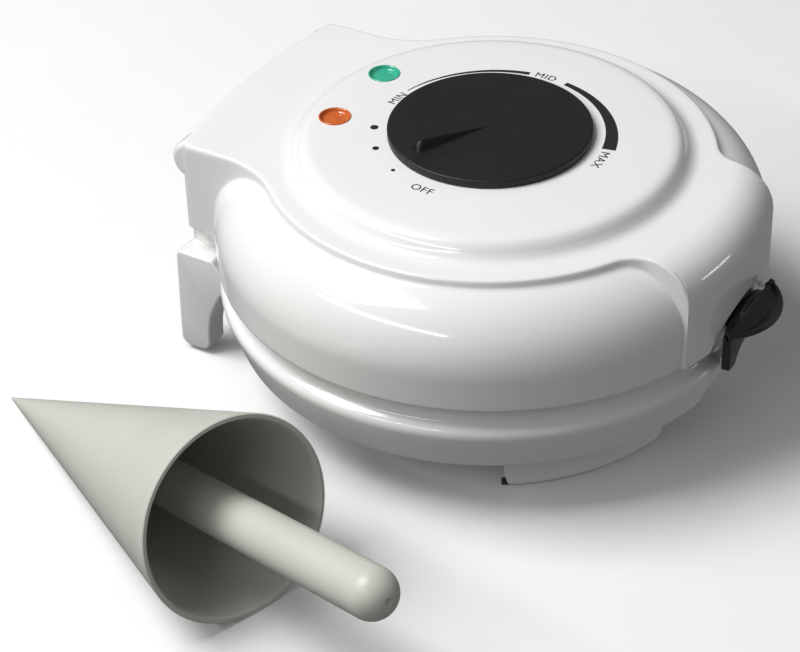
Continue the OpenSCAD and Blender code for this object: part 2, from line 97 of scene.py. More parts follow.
# Roller
CONE_LEN, CONE_R, CONE_WALL, CONE_BLUNT = 160.0, 38.7, 2.2, 2.4
GRIP_R, GRIP_OUT, GRIP_START, GRIP_TAPER = 9.4, 88.0, 42.0, 0.25
CONE_TIP, CONE_YAW = (-120.6, 151.3, 0.0), -109.7

# How far from the axis a revolved profile starts
AXIS = 0.01

# Pieces that come in pairs, by the sign of X
SIDES = ((-1, "left"), (1, "right"))

# Camera, at the photograph's viewing angle
CAM_AZ, CAM_EL, CAM_ROLL = -58.0, 36.454, -1.801
CAM_DIST, CAM_SHIFT_R, CAM_SHIFT_U = 1001.0, -36.64, 3.564
CAM_LEVEL = 7.0
FOCAL_PX, IMAGE_W = 2482.0, 800.0
SENSOR, CAM_FAR_M = 36.0, 20.0


def link(name, data):
    piece = bpy.data.objects.new(name, data)
    bpy.context.scene.collection.objects.link(piece)
    return piece


def make_camera():
    a, e, r = (math.radians(v) for v in (CAM_AZ, CAM_EL, CAM_ROLL))
    back = Vector((math.sin(a) * math.cos(e), -math.cos(a) * math.cos(e), math.sin(e)))
    right = Vector((math.cos(a), math.sin(a), 0.0))
    up = back.cross(right)
    right_r = right * math.cos(r) + up * math.sin(r)
    up_r = up * math.cos(r) - right * math.sin(r)
    place = back * CAM_DIST + right_r * CAM_SHIFT_R + up_r * CAM_SHIFT_U + Vector((0, 0, CAM_LEVEL))
    data = bpy.data.cameras.new("photo_camera")
    data.sensor_width = SENSOR
    data.lens = FOCAL_PX * SENSOR / IMAGE_W
    data.clip_end = CAM_FAR_M
    cam = link("photo_camera", data)
    turn = Matrix((right_r, up_r, back)).transposed().to_4x4()
    cam.matrix_world = Matrix.Translation(place * MM) @ turn
    bpy.context.scene.camera = cam


# Mesh helpers

def shade(mesh, smooth=True):
    mesh.polygons.foreach_set("use_smooth", [smooth] * len(mesh.polygons))


def add_mesh(name, verts, faces, smooth=True):
    """A piece from points in millimetres, with doubled points merged and its faces turned outwards."""
    mesh = bpy.data.meshes.new(name)
    mesh.from_pydata([tuple(v) for v in np.asarray(verts, float) * MM], [], [tuple(f) for f in faces])
    mesh.validate()
    bm = bmesh.new()
    bm.from_mesh(mesh)
    bmesh.ops.remove_doubles(bm, verts=bm.verts, dist=1e-6)
    bmesh.ops.recalc_face_normals(bm, faces=bm.faces)
    bm.to_mesh(mesh)
    bm.free()
    shade(mesh, smooth)
    return link(name, mesh)


def grid_faces(columns, rows, wrap_columns=True, wrap_rows=False):
    """Four-sided faces over points that are listed column by column."""
    faces = []
    for i in range(columns if wrap_columns else columns - 1):
        a, b = i * rows, (i + 1) % columns * rows
        for k in range(rows if wrap_rows else rows - 1):
            k2 = (k + 1) % rows
            faces.append((a + k, b + k, b + k2, a + k2))
    return faces


def revolve(name, profile, columns=192):
    """A solid of revolution about Z from (radius, height) points."""
    turn = np.linspace(0, 2 * math.pi, columns, endpoint=False)
    profile = np.asarray(profile, float)
    verts = np.empty((columns, len(profile), 3))
    verts[:, :, 0] = np.cos(turn)[:, None] * profile[:, 0]
    verts[:, :, 1] = np.sin(turn)[:, None] * profile[:, 0]
    verts[:, :, 2] = profile[:, 1]
    return add_mesh(name, verts.reshape(-1, 3), grid_faces(columns, len(profile)))


def loft(name, sections, capped=True):
    """A skin through closed sections that have the same number of points, with flat ends if capped."""
    count, rows = len(sections), len(sections[0])
    faces = grid_faces(count, rows, wrap_columns=False, wrap_rows=True)
    if capped:
        faces += [tuple(range(rows))[::-1], tuple(rows * (count - 1) + k for k in range(rows))]
    return add_mesh(name, [point for section in sections for point in section], faces)


def swept_round(name, section, begin, end, stations, capped=True):
    """A closed (radius, height) section swept about Z from one angle to another."""
    turns = np.radians(np.linspace(begin, end, stations))
    return loft(name, [[(r * math.cos(t), r * math.sin(t), z) for r, z in section] for t in turns], capped)


def along(points, step):
    """The points of a polyline a fixed step apart, and their distances along it."""
    points = np.asarray(points, float)
    gaps = np.hypot(*np.diff(points, axis=0).T)
    far = np.concatenate([[0], np.cumsum(gaps)])
    count = max(int(far[-1] / step), 2)
    at = np.linspace(0, far[-1], count + 1)
    return np.c_[np.interp(at, far, points[:, 0]), np.interp(at, far, points[:, 1])], at, far


def soften(points, reach, step=0.2, closed=False):
    """Rounds every corner of a polyline: each point becomes a local average."""
    fine, at, far = along(points, step)
    span = int(3 * reach / step)
    weights = np.exp(-0.5 * (np.arange(-span, span + 1) * step / reach) ** 2)
    weights /= weights.sum()
    out = []
    for axis in range(2):
        line = fine[:, axis]
        if closed:
            padded = np.concatenate([line[-span - 1:-1], line, line[1:span + 1]])
        else:
            head = 2 * line[0] - line[span:0:-1]
            tail = 2 * line[-1] - line[-2:-span - 2:-1]
            padded = np.concatenate([head, line, tail])
        out.append(np.convolve(padded, weights, "valid"))
    return np.array(out).T, at, far


def rounded(points, reach, step=0.4, closed=False):
    """The softened polyline, with its points a step apart."""
    soft, at, _ = soften(points, reach, closed=closed)
    pick = np.linspace(0, at[-1], max(int(at[-1] / step), 8))
    return np.c_[np.interp(pick, at, soft[:, 0]), np.interp(pick, at, soft[:, 1])]


def prism(name, outline, depth, axis, bevel=0.0, segments=3):
    """A flat outline given thickness along an axis, with rounded edges."""
    outline = np.asarray(outline, float)
    n = len(outline)
    lift = {"x": lambda p, d: (d, p[0], p[1]),
            "y": lambda p, d: (p[0], d, p[1]),
            "z": lambda p, d: (p[0], p[1], d)}[axis]
    verts = [lift(p, depth[0]) for p in outline] + [lift(p, depth[1]) for p in outline]
    faces = [tuple(range(n)), tuple(range(2 * n - 1, n - 1, -1))]
    faces += [(i, (i + 1) % n, n + (i + 1) % n, n + i) for i in range(n)]
    piece = add_mesh(name, verts, faces)
    if bevel:
        soften_edges(piece, bevel, segments)
    return piece


def soften_edges(piece, width, segments):
    """Rounds the edges that are sharper than 30 degrees."""
    bev = piece.modifiers.new("edge", "BEVEL")
    bev.width = width * MM
    bev.segments = segments
    bev.limit_method = "ANGLE"
    bev.angle_limit = math.radians(30)
    bev.harden_normals = False
    apply_modifiers(piece)


def final_mesh(piece):
    """The mesh of a piece with its modifiers, or its curve or text, worked out."""
    bpy.context.view_layer.update()
    graph = bpy.context.evaluated_depsgraph_get()
    return bpy.data.meshes.new_from_object(piece.evaluated_get(graph))


def apply_modifiers(piece):
    mesh = final_mesh(piece)
    piece.modifiers.clear()
    old = piece.data
    piece.data = mesh
    bpy.data.meshes.remove(old)
    shade(mesh)


def curve_piece(name, curve):
    """A mesh piece from a curve or a text."""
    drawn = link(name, curve)
    mesh = final_mesh(drawn)
    bpy.data.objects.remove(drawn)
    return link(name, mesh)


def join(name, pieces):
    """Puts the meshes of several pieces into one piece."""
    bm = bmesh.new()
    for piece in pieces:
        piece.data.transform(piece.matrix_world)
        bm.from_mesh(piece.data)
    mesh = bpy.data.meshes.new(name)
    bm.to_mesh(mesh)
    bm.free()
    for piece in pieces:
        bpy.data.objects.remove(piece)
    shade(mesh)
    return link(name, mesh)


def keep_sharp(piece, angle):
    """Smooth shading that breaks at edges sharper than the angle."""
    bm = bmesh.new()
    bm.from_mesh(piece.data)
    for edge in bm.edges:
        edge.smooth = not edge.is_manifold or edge.calc_face_angle(0.0) < math.radians(angle)
    bm.to_mesh(piece.data)
    bm.free()


def move(piece, matrix):
    piece.data.transform(matrix)
    return piece


def shift(x, y, z=0.0):
    return Matrix.Translation((x * MM, y * MM, z * MM))


def on_circle(r, angle):
    turn = math.radians(angle)
    return r * math.cos(turn), r * math.sin(turn)


def arc(cx, cy, r, a0, a1, n):
    turn = np.radians(np.linspace(a0, a1, n))
    return [(cx + r * math.cos(t), cy + r * math.sin(t)) for t in turn]


def box(x0, x1, y0, y1):
    return [(x0, y0), (x1, y0), (x1, y1), (x0, y1)]


def on_side(side, inner, outer):
    """The span between two distances from the middle, on the left or the right."""
    return sorted((side * inner, side * outer))


# Shader groups shared by the materials

def new_group(name, inputs, outputs):
    """A node group with plain number inputs, and its input and output nodes."""
    group = bpy.data.node_groups.new(name, "ShaderNodeTree")
    for label, value in inputs:
        sock = group.interface.new_socket(label, in_out="INPUT", socket_type="NodeSocketFloat")
        sock.default_value = value
    for label, kind in outputs:
        group.interface.new_socket(label, in_out="OUTPUT", socket_type=kind)
    return group, group.nodes.new("NodeGroupInput"), group.nodes.new("NodeGroupOutput")


def node(tree, kind, inputs=(), **settings):
    """A node whose inputs are set to values or joined to other nodes' outputs."""
    made = tree.nodes.new(kind)
    for key, value in settings.items():
        setattr(made, key, value)
    for key, value in dict(inputs).items():
        if hasattr(value, "is_output"):
            tree.links.new(value, made.inputs[key])
        else:
            made.inputs[key].default_value = value
    return made


def moulding_group():
    """Fine moulded texture and slow unevenness of a plastic or cast skin."""
    group, gin, gout = new_group("moulding", [("Fine Scale", 900.0), ("Slow Scale", 14.0)],
                                 [("Fine", "NodeSocketFloat"), ("Slow", "NodeSocketFloat")])
    place = node(group, "ShaderNodeTexCoord").outputs["Object"]
    fine = node(group, "ShaderNodeTexNoise", {"Vector": place, "Scale": gin.outputs["Fine Scale"],
                                              "Detail": 3.0, "Roughness": 0.6})
    slow = node(group, "ShaderNodeTexNoise", {"Vector": place, "Scale": gin.outputs["Slow Scale"],
                                              "Detail": 2.0, "Roughness": 0.5})
    group.links.new(fine.outputs["Fac"], gout.inputs["Fine"])
    group.links.new(slow.outputs["Fac"], gout.inputs["Slow"])
    return group


def wear_group():
    """Where edges are rubbed, and where dust and handling marks lie."""
    group, gin, gout = new_group("handling", [("Mark Scale", 60.0)],
                                 [("Edge", "NodeSocketFloat"), ("Marks", "NodeSocketFloat")])
    geo = node(group, "ShaderNodeNewGeometry")
    place = node(group, "ShaderNodeTexCoord").outputs["Object"]
    edge = node(group, "ShaderNodeMapRange", {"Value": geo.outputs["Pointiness"], "From Min": 0.52,
                                              "From Max": 0.62, "To Min": 0.0, "To Max": 1.0})
    patch = node(group, "ShaderNodeTexNoise", {"Vector": place, "Scale": gin.outputs["Mark Scale"],
                                               "Detail": 4.0, "Roughness": 0.65})
    rub = node(group, "ShaderNodeMath", {0: edge.outputs["Result"], 1: patch.outputs["Fac"]},
               operation="MULTIPLY")
    marks = node(group, "ShaderNodeMapRange", {"Value": patch.outputs["Fac"], "From Min": 0.5,
                                               "From Max": 0.75, "To Min": 0.0, "To Max": 1.0})
    group.links.new(rub.outputs[0], gout.inputs["Edge"])
    group.links.new(marks.outputs["Result"], gout.inputs["Marks"])
    return group


MOULDING = moulding_group()
HANDLING = wear_group()
# How deep the moulded skin is, and the roughness mark where nothing has rubbed it
BUMP_DISTANCE_M, MARK_OFFSET = 0.0002, 0.3


def blend_colour(tree, factor, low, high):
    """A colour that runs from low to high, which may be a fixed colour or a node's output."""
    mix = node(tree, "ShaderNodeMix", data_type="RGBA")
    tree.links.new(factor, mix.inputs[0])
    for place, colour in ((6, low), (7, high)):
        if hasattr(colour, "is_output"):
            tree.links.new(colour, mix.inputs[place])
        else:
            mix.inputs[place].default_value = (*colour, 1)
    return mix.outputs[2]


def spread(tree, factor, low, high):
    """The middle of a noise stretched from one value to another."""
    return node(tree, "ShaderNodeMapRange", {"Value": factor, "From Min": 0.3, "From Max": 0.7,
                                             "To Min": low, "To Max": high}).outputs["Result"]


def finish(name, low, high, rough, fine_scale=900.0, fine_bump=0.02, slow_scale=14.0, slow_bump=0.0,
           worn=None, **sockets):
    """A material whose colour, gloss and skin all vary over the surface.

    low and high are the colours it moves between, rough its roughness from least to most, and worn
    the colour of rubbed edges."""
    mat = bpy.data.materials.new(name)
    mat.use_nodes = True
    tree = mat.node_tree
    shader = tree.nodes["Principled BSDF"]
    skin = node(tree, "ShaderNodeGroup", node_tree=MOULDING)
    skin.inputs["Fine Scale"].default_value = fine_scale
    skin.inputs["Slow Scale"].default_value = slow_scale
    touch = node(tree, "ShaderNodeGroup", node_tree=HANDLING)
    colour = blend_colour(tree, skin.outputs["Slow"], low, high)
    if worn:
        colour = blend_colour(tree, touch.outputs["Edge"], colour, worn)
    tree.links.new(colour, shader.inputs["Base Color"])
    mark = node(tree, "ShaderNodeMath", {0: skin.outputs["Slow"], 1: touch.outputs["Marks"], 2: MARK_OFFSET},
                operation="MULTIPLY_ADD")
    tree.links.new(spread(tree, mark.outputs[0], *rough), shader.inputs["Roughness"])
    total = node(tree, "ShaderNodeMath", {0: skin.outputs["Slow"], 1: slow_bump, 2: skin.outputs["Fine"]},
                 operation="MULTIPLY_ADD")
    bump = node(tree, "ShaderNodeBump", {"Height": total.outputs[0], "Strength": fine_bump,
                                         "Distance": BUMP_DISTANCE_M})
    tree.links.new(bump.outputs["Normal"], shader.inputs["Normal"])
    for label, value in sockets.items():
        shader.inputs[label.replace("_", " ")].default_value = value
    return mat


def make_materials():
    m = {}
    m["white_shell"] = finish(
        "white_gloss_plastic", (0.80, 0.80, 0.785), (0.86, 0.86, 0.85), (0.10, 0.17), fine_scale=600,
        fine_bump=0.03, worn=(0.9, 0.9, 0.88), Coat_Weight=0.35, Coat_Roughness=0.06,
        Specular_IOR_Level=0.55)
    m["dark_latch"] = finish(
        "dark_satin_plastic", (0.018, 0.017, 0.018), (0.026, 0.025, 0.027), (0.32, 0.46), fine_scale=1200,
        fine_bump=0.12, worn=(0.07, 0.07, 0.07))
    m["knob_black"] = finish(
        "knob_matte_black", (0.0085, 0.0085, 0.008), (0.0125, 0.0125, 0.012), (0.42, 0.54),
        fine_scale=2600, fine_bump=0.3, worn=(0.045, 0.045, 0.045), Specular_IOR_Level=0.35)
    m["pointer_black"] = finish(
        "pointer_black", (0.0035, 0.0035, 0.0034), (0.006, 0.006, 0.0058), (0.4, 0.52), fine_scale=2600,
        fine_bump=0.25, worn=(0.04, 0.04, 0.04), Specular_IOR_Level=0.3)
    m["baking_plate"] = finish(
        "nonstick_plate", (0.018, 0.018, 0.019), (0.03, 0.03, 0.031), (0.34, 0.5), fine_scale=1500,
        fine_bump=0.3, slow_bump=0.3, worn=(0.1, 0.1, 0.1), Metallic=0.25)
    m["steel"] = finish(
        "plated_steel", (0.5, 0.5, 0.51), (0.62, 0.62, 0.63), (0.25, 0.42), fine_scale=700,
        fine_bump=0.12, worn=(0.8, 0.8, 0.8), Metallic=1.0)
    m["heater_sheath"] = finish(
        "heater_sheath", (0.22, 0.19, 0.17), (0.34, 0.31, 0.29), (0.4, 0.55), fine_scale=500,
        fine_bump=0.2, Metallic=0.9)
    m["rubber"] = finish(
        "soft_rubber", (0.03, 0.03, 0.03), (0.045, 0.045, 0.044), (0.65, 0.8), fine_bump=0.2)
    m["ceramic"] = finish(
        "cream_ceramic", (0.6, 0.56, 0.46), (0.7, 0.67, 0.58), (0.25, 0.4), fine_scale=500)
    m["lens_green"] = finish(
        "green_lens", (0.02, 0.36, 0.22), (0.06, 0.52, 0.35), (0.05, 0.1), fine_bump=0.01,
        Coat_Weight=0.6, Coat_Roughness=0.04)
    m["lens_orange"] = finish(
        "orange_lens", (0.5, 0.085, 0.012), (0.68, 0.17, 0.03), (0.05, 0.1), fine_bump=0.01,
        Coat_Weight=0.6, Coat_Roughness=0.04)
    m["lamp_glass"] = finish(
        "lamp_glass", (0.7, 0.7, 0.66), (0.8, 0.8, 0.77), (0.05, 0.09), fine_bump=0.01)
    m["roller"] = finish(
        "roller_grey_plastic", (0.53, 0.525, 0.47), (0.6, 0.595, 0.545), (0.36, 0.5), fine_scale=1100,
        fine_bump=0.16, slow_scale=9.0, worn=(0.68, 0.68, 0.64))
    m["print"] = finish(
        "scale_print", (0.013, 0.013, 0.014), (0.02, 0.02, 0.021), (0.3, 0.42), fine_scale=1800,
        fine_bump=0.05)
    return m


MATERIALS = make_materials()


def dress(piece, body, slot, material=None, replaces=()):
    """Hangs a piece on a body, gives it its finish and hides the nodes it stands in for."""
    piece.data.materials.clear()
    piece.data.materials.append(MATERIALS[material or slot])
    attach(piece, body)
    if replaces:
        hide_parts(*replaces)


# The lid's shell: one skin drawn column by column round the axis

def block_edge(off, half_w, fillet, far, bulge, inset):
    """Distance from the axis to the plateau's outline, off being the angle from a block's middle."""
    w, f, plain = half_w - inset, fillet + inset, PLATEAU_R - inset
    lift = math.sqrt((plain + f) ** 2 - (w + f) ** 2)
    turn_in, turn_out = math.atan2(w + f, lift), math.atan2(w, lift)
    off = abs(off)
    if off >= turn_in:
        return plain
    if off > turn_out:
        reach = (w + f) * math.sin(off) + lift * math.cos(off)
        return reach - math.sqrt(max(reach ** 2 - ((w + f) ** 2 + lift ** 2 - f * f), 0))
    bow = (w * w + bulge * bulge) / (2 * bulge)
    mid = far - inset + bulge - bow
    reach = mid * math.cos(off)
    rear = reach + math.sqrt(reach ** 2 - mid ** 2 + bow ** 2)
    return min(rear, w / max(math.sin(off), 1e-6))


def edge_table(inset):
    """The outline's radius all round, with its corners rounded by a running average."""
    count, reach, span = 7200, 8.0, 22
    turn = np.arange(count) * 2 * math.pi / count
    radii = []
    for t in turn:
        rear = math.remainder(t - math.pi / 2, 2 * math.pi)
        front = math.remainder(t + math.pi / 2, 2 * math.pi)
        if abs(rear) < abs(front):
            radii.append(block_edge(rear, HINGE_HALF_W, HINGE_FILLET, HINGE_BACK, HINGE_BULGE, inset))
        else:
            radii.append(block_edge(front, FRONT_HALF_W, FRONT_FILLET, FRONT_FAR, FRONT_BULGE, inset))
    weights = np.exp(-0.5 * (np.arange(-span, span + 1) / reach) ** 2)
    padded = np.concatenate([radii[-span:], radii, radii[:span]])
    return turn, np.convolve(padded, weights / weights.sum(), "valid")


def pillow_rise(inset):
    """Height of the quarter ellipse that rounds the lid's side."""
    return PLATEAU_Z - PILLOW_DROP - PILLOW_Z + 2 - inset


def pillow_height(r, inset):
    """Height of the rounded side at a distance from the axis."""
    inside = np.clip(1 - ((np.asarray(r) - PILLOW_IN) / (PILLOW_R - PILLOW_IN - inset)) ** 2, 0, 1)
    return PILLOW_Z + pillow_rise(inset) * np.sqrt(inside)


def front_height(r, inset):
    """Height of the front block's top, which rounds over towards its wall."""
    over = np.clip(np.asarray(r) - (FRONT_R - FRONT_ROUND), 0, FRONT_ROUND - inset)
    return PLATEAU_Z - FRONT_ROUND + np.sqrt(np.maximum((FRONT_ROUND - inset) ** 2 - over ** 2, 0))


def lid_column(edge, front, floor_z, inset):
    """Segments of the lid's section at one angle, from the step outwards and down."""
    widest = PILLOW_R - inset
    out = min(edge, FRONT_R - inset) if front else edge
    top_r = np.linspace(PANEL_R + PANEL_STEP - inset, out, 60)
    top = np.c_[top_r, front_height(top_r, inset) if front else np.full(60, PLATEAU_Z - inset)]
    low = float(pillow_height(out, inset)) if out < widest else PILLOW_Z
    low = min(low, top[-1, 1])
    drop = np.c_[np.full(30, out), np.linspace(top[-1, 1], low, 30)]
    if out < widest:
        lean = np.linspace(math.acos((out - PILLOW_IN) / (widest - PILLOW_IN)), 0, 60)
        side = np.c_[PILLOW_IN + (widest - PILLOW_IN) * np.cos(lean),
                     PILLOW_Z + pillow_rise(inset) * np.sin(lean)]
        foot = LID_R - inset
    else:
        side = np.c_[np.full(60, out), np.linspace(low, PILLOW_Z, 60)]
        foot = out
    down = np.c_[np.linspace(side[-1, 0], foot, 24), np.linspace(PILLOW_Z, floor_z, 24)]
    return [top, drop, side, down]


def soft_column(head, parts, counts, reach):
    """One smooth column through all the segments, with a fixed share of points for each."""
    line = np.vstack([head] + parts)
    soft, at, far = soften(line, reach)
    marks, begin = [], 0
    for part, count in zip([head] + parts, counts):
        end = begin + len(part) - 1
        marks.append(np.linspace(far[begin], far[end], count))
        begin = end + 1
    pick = np.concatenate(marks)
    return np.c_[np.interp(pick, at, soft[:, 0]), np.interp(pick, at, soft[:, 1])]


def soft_loop(corners, counts, reach):
    """A closed section with rounded corners and a fixed share of points for each side."""
    line = np.array(list(corners) + [corners[0]], float)
    soft, at, far = soften(line, reach, 0.05, True)
    pick = np.concatenate([np.linspace(far[i], far[i + 1], n, endpoint=False)
                           for i, n in enumerate(counts)])
    return np.c_[np.interp(pick, at, soft[:, 0]), np.interp(pick, at, soft[:, 1])]


def carve(piece, cutters):
    """Takes the cutters' volume out of a piece."""
    for cutter in cutters:
        cut = piece.modifiers.new("cut", "BOOLEAN")
        cut.object = cutter
        cut.operation = "DIFFERENCE"
        cut.solver = "EXACT"
    apply_modifiers(piece)
    for cutter in cutters:
        bpy.data.objects.remove(cutter)


def lid_floor(turn, edge):
    """Height of the shell's lower edge, which arches over the latch and rises under the hinge block."""
    if math.sin(turn) < 0:
        across = FRONT_R * math.cos(turn)
        if abs(across) < ARCH_HALF_W:
            return LID_RIM_Z + (math.sqrt(ARCH_BOW ** 2 - across ** 2) - ARCH_BOW + ARCH_H)
        return LID_RIM_Z
    return LID_RIM_Z + (BLOCK_FLOOR - LID_RIM_Z) * min(max((edge - PILLOW_R) / BLOCK_RISE, 0.0), 1.0)


def lid_shell():
    columns = 960
    turn_table, outer_table = edge_table(0.0)
    inner_table = edge_table(SHELL)[1]
    head_out = np.array([(AXIS, PANEL_Z + 0.5), (30, PANEL_Z + 0.45), (60, PANEL_Z + 0.2),
                         (PANEL_R - 1.5, PANEL_Z), (PANEL_R + 0.6, PANEL_Z - 0.9),
                         (PANEL_R + 3.4, PLATEAU_Z + 0.9), (PANEL_R + 5.0, PLATEAU_Z)])
    head_in = np.array([(AXIS, PANEL_Z - SHELL), (PANEL_R - 4, PANEL_Z - SHELL),
                        (PANEL_R - 1.5, PLATEAU_Z - SHELL)])
    rings = []
    for i in range(columns):
        turn = i * 2 * math.pi / columns
        front = math.sin(turn) < 0
        edge_out = float(np.interp(turn, turn_table, outer_table))
        edge_in = float(np.interp(turn, turn_table, inner_table))
        floor_z = lid_floor(turn, edge_out)
        outer = soft_column(head_out, lid_column(edge_out, front, floor_z, 0.0), (34, 22, 16, 34, 14), 1.15)
        inner = soft_column(head_in, lid_column(edge_in, front, floor_z, SHELL), (4, 4, 5, 12, 5), 0.8)
        # the lower edge is a flat lip with its two corners broken
        lip = np.array([(outer[-1, 0] - 0.5, floor_z), (inner[-1, 0] + 0.4, floor_z)])
        outer[-1, 1] = floor_z + 0.45
        inner[-1, 1] = floor_z + 0.4
        section = np.vstack([outer, lip, inner[::-1]])
        rings.append(np.c_[section[:, 0] * math.cos(turn), section[:, 0] * math.sin(turn), section[:, 1]])
    return add_mesh("lid_shell", np.vstack(rings), grid_faces(columns, len(rings[0])))


def lid_ledge():
    """The ledge that the upper plate's flange bears on, open at the latch and the hinge."""
    corners = box(LEDGE_IN, LEDGE_OUT, SEAT_UP, SEAT_UP + LEDGE_T)
    section = rounded(corners + corners[:1], 0.3, closed=True)
    return [swept_round("ledge", section, begin, end, 140) for begin, end in ((-74, 58), (122, 254))]


def hinge_bosses():
    """Ears inside the lid that turn on the hinge pins."""
    root = PLATEAU_Z - SHELL + 0.4
    outline = [(HINGE_Y - BOSS_R, root)] + arc(HINGE_Y, HINGE_Z, BOSS_R, 180, 360, 25)
    outline += [(HINGE_Y + BOSS_R, root)]
    return [prism("boss", outline, on_side(side, LUG_IN - 0.5, LUG_IN - 0.5 - BOSS_T), "x", 0.5)
            for side in (-1, 1)]


def latch_ears():
    """Two ears behind the arch that hold the latch's pin."""
    outline = [(-100.2, 69.4), (-106.1, 69.4), (-106.1, 57)]
    outline += arc(LATCH_PIN_Y, LATCH_PIN_Z, 2.8, 200, 340, 12) + [(-100.2, 60)]
    return [prism("ear", outline, on_side(side, 11.0, 14.0), "x", 0.3) for side in (-1, 1)]


def lug_slots():
    """Room in the hinge block for the base's lugs as the lid turns."""
    outline = box(HINGE_Y - 9, HINGE_Y + 13, 48, HINGE_Z + 8.6)
    return [prism("slot", outline, on_side(side, LUG_IN - 0.3, LUG_IN + LUG_T + 1.6), "x")
            for side in (-1, 1)]


def lamp_place(side):
    return shift(*on_circle(LAMP_REACH, 90 + side * LAMP_ANGLE))


def lamp_holes():
    r = LENS_R - 0.1
    profile = [(AXIS, PANEL_Z - 6), (r, PANEL_Z - 6), (r, PANEL_Z + 4), (AXIS, PANEL_Z + 4)]
    return [move(revolve("hole", profile, 96), lamp_place(side)) for side in (-1, 1)]


def make_lid():
    skin = lid_shell()
    carve(skin, lug_slots() + lamp_holes())
    shell = join("lid_shell", [skin] + lid_ledge() + hinge_bosses() + latch_ears())
    keep_sharp(shell, 50)
    dress(shell, "lid", "white_shell", replaces=("upper_housing",))


# The base

def base_pan():
    """A bowl whose round shoulder runs up into a collar just under the lid's rim."""
    bowl = [(BASE_HOLE_R, BASE_BOTTOM_Z), (BASE_BOTTOM_R - 0.2, BASE_BOTTOM_Z), (103.6, 29), (105.6, 34.5),
            (BASE_R, 38.5), (BASE_R, 40.3)]
    shoulder = [(BASE_R - 0.7, BASE_TOP - 0.7), (BASE_R - 1.8, BASE_TOP + 0.1)]
    collar = [(COLLAR_R + 1, BASE_TOP + 1.4), (COLLAR_R, BASE_TOP + 3.7), (COLLAR_R, COLLAR_TOP),
              (COLLAR_IN, COLLAR_TOP), (COLLAR_IN, SEAT_LOW + 0.1)]
    outer = rounded(bowl + shoulder + collar, 0.6, 0.5)
    inner = [(PAN_IN, SEAT_LOW), (PAN_IN, 28), (95.2, BASE_BOTTOM_Z + SHELL),
             (BASE_HOLE_R, BASE_BOTTOM_Z + SHELL), (BASE_HOLE_R, BASE_BOTTOM_Z)]
    pan = revolve("pan", np.vstack([outer, inner]), 320)
    recess = prism("recess", box(-RECESS_HALF_W, RECESS_HALF_W, BASE_BOTTOM_Z - 4, RECESS_TOP),
                   (-125, RECESS_Y), "y", 1.5, 4)
    # the hinge side has no collar, since the open lid swings down there
    gap = prism("gap", box(-90, 90, COLLAR_END_Y, 120), (BASE_TOP, BASE_TOP + 20), "z")
    carve(pan, [recess, gap])
    return pan


def base_deck():
    """The deck behind the pan that carries the hinge lugs and the cord's gland."""
    walls = [prism("deck_back", box(-LEG_IN, LEG_IN, DECK_BOTTOM, DECK_TOP),
                   (DECK_BACK - SHELL, DECK_BACK), "y", 0.8),
             prism("deck_top", box(-LEG_IN, LEG_IN, 93, DECK_BACK), (DECK_TOP - SHELL, DECK_TOP), "z", 0.8)]
    for side in (-1, 1):
        walls.append(prism("deck_side", box(80, DECK_BACK, DECK_BOTTOM, DECK_TOP),
                           on_side(side, LEG_IN, LEG_IN - SHELL), "x", 0.8))
    return walls


def hinge_lugs():
    root = BASE_TOP - 1
    outline = [(93, root), (HINGE_BACK + 1.5, root), (HINGE_Y + 5.4, HINGE_Z - 2)]
    outline += arc(HINGE_Y, HINGE_Z, LUG_R, -10, 190, 24) + [(HINGE_Y - 7, HINGE_Z - 7)]
    return [prism("lug", outline, on_side(side, LUG_IN, LUG_IN + LUG_T), "x", 0.6) for side in (-1, 1)]


def catch_rib():
    """The low rib below the base's rim that the latch holds on to."""
    root, crest = BASE_R - 1.4, BASE_R + 0.25
    section = rounded([(root, 36.5), (crest, 36.8), (crest, 38.7), (root, 39), (root, 36.5)], 0.2, 0.3, True)
    begin, end = RIB_ANGLE - RIB_SPAN / 2, RIB_ANGLE + RIB_SPAN / 2
    return [swept_round("rib", section, begin, end, 24, capped=False)]


def make_base():
    shell = join("base_shell", [base_pan()] + base_deck() + hinge_lugs() + catch_rib())
    keep_sharp(shell, 50)
    dress(shell, "base", "white_shell", replaces=("lower_housing",))


def make_front_feet():
    """Two curved feet under the front of the pan."""
    inner = FOOT_R - FOOT_T
    section = soft_loop([(FOOT_R + 2.5, BASE_BOTTOM_Z + 0.2), (FOOT_R, PAD_H), (inner, PAD_H),
                         (inner, BASE_BOTTOM_Z + 0.2)], (16, 8, 16, 8), 0.7)
    lean = (section[:, 1] - PAD_H) / (BASE_BOTTOM_Z - PAD_H)
    for side, label in SIDES:
        middle = math.radians(-90 + side * FOOT_TURN)
        sections = []
        for u in np.linspace(-1, 1, 90):
            # the ends slope outwards towards the pan, and their lower corners are round
            near = max((abs(u) - 0.93) / 0.07, 0.0)
            drop = 4.5 * (1 - math.sqrt(1 - near * near)) * (1 - np.clip(lean * 3, 0, 1))
            turn = middle + u * math.radians(FOOT_SPAN / 2) * (0.965 + 0.03 * lean)
            sections.append([(r * math.cos(t), r * math.sin(t), z + d)
                             for (r, z), t, d in zip(section, turn, drop)])
        foot = loft(f"foot_arc_{label}", sections)
        keep_sharp(foot, 50)
        dress(foot, "base", "white_shell", replaces=(f"front_foot_{label}",))


